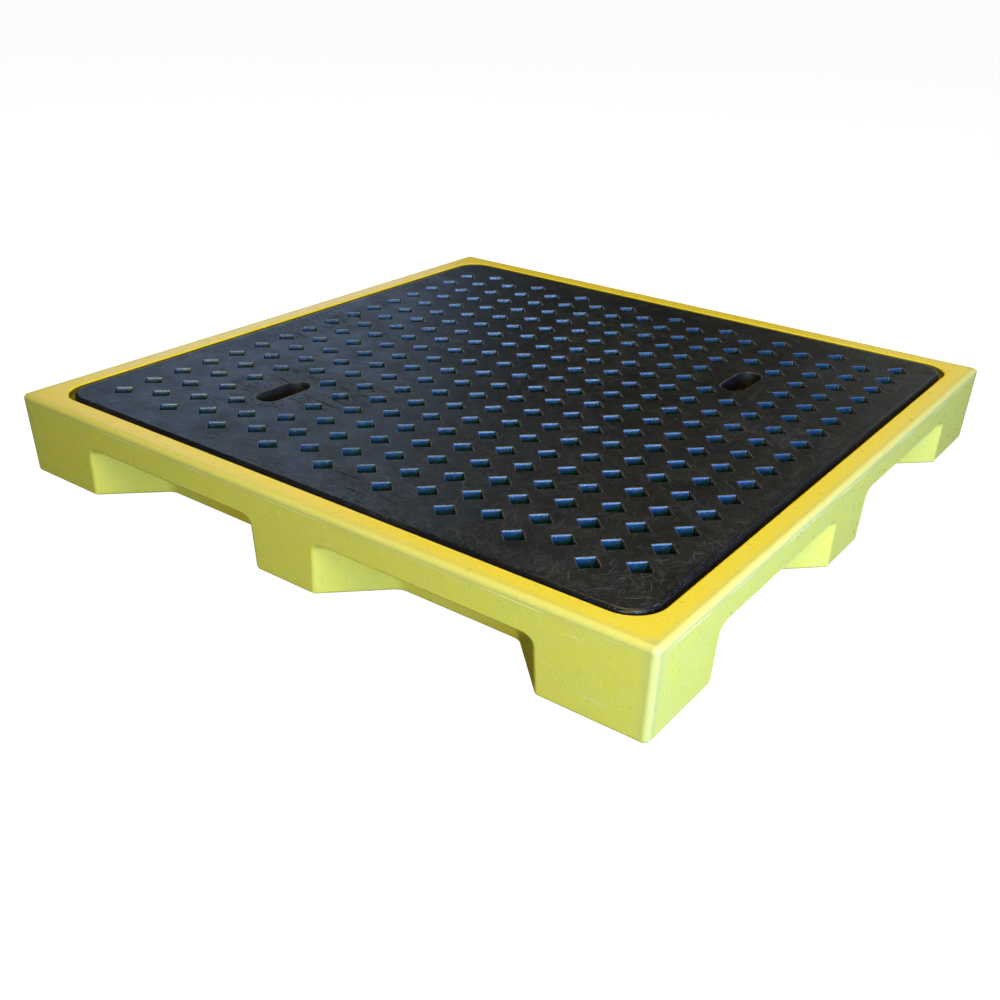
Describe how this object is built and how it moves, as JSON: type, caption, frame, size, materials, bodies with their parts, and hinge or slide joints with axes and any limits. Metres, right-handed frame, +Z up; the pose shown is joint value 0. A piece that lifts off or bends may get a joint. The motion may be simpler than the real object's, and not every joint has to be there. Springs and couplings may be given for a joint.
{
  "type": "spill containment pallet",
  "caption": "Low square spill tray with a flat rim, funnel-sided notches under its walls and a lift-off black deck with diamond drain holes.",
  "frame": {"origin": "centre of the underside, on the floor", "axes": "+Z up, through the deck; X and Y along the sides of the square plan, with the drain-hole columns running along Y"},
  "size_m": [1.3, 1.3, 0.15],
  "materials": {
    "tray_yellow": "satin rotomoulded polyethylene, slightly translucent and speckled",
    "deck_black": "satin black polyethylene with scuffs and fine scratches",
    "leg_black": "satin black polyethylene",
    "plug_black": "satin black polyethylene"
  },
  "bodies": {
    "sump": {"sump_base": "tray_yellow", "vent_plug_1": "plug_black", "vent_plug_2": "plug_black"},
    "deck": {"deck_grid": "deck_black", "support_leg_1": "leg_black", "support_leg_2": "leg_black", "support_leg_3": "leg_black", "support_leg_4": "leg_black", "support_leg_5": "leg_black", "support_leg_6": "leg_black", "support_leg_7": "leg_black", "support_leg_8": "leg_black", "support_leg_9": "leg_black", "support_leg_10": "leg_black", "support_leg_11": "leg_black", "support_leg_12": "leg_black", "support_leg_13": "leg_black", "support_leg_14": "leg_black", "support_leg_15": "leg_black", "support_leg_16": "leg_black"}
  },
  "joints": [
    {"name": "deck_lift", "type": "slide", "parent": "sump", "child": "deck", "axis": [0, 0, 1], "range_m": [0, 0.25]}
  ]
}
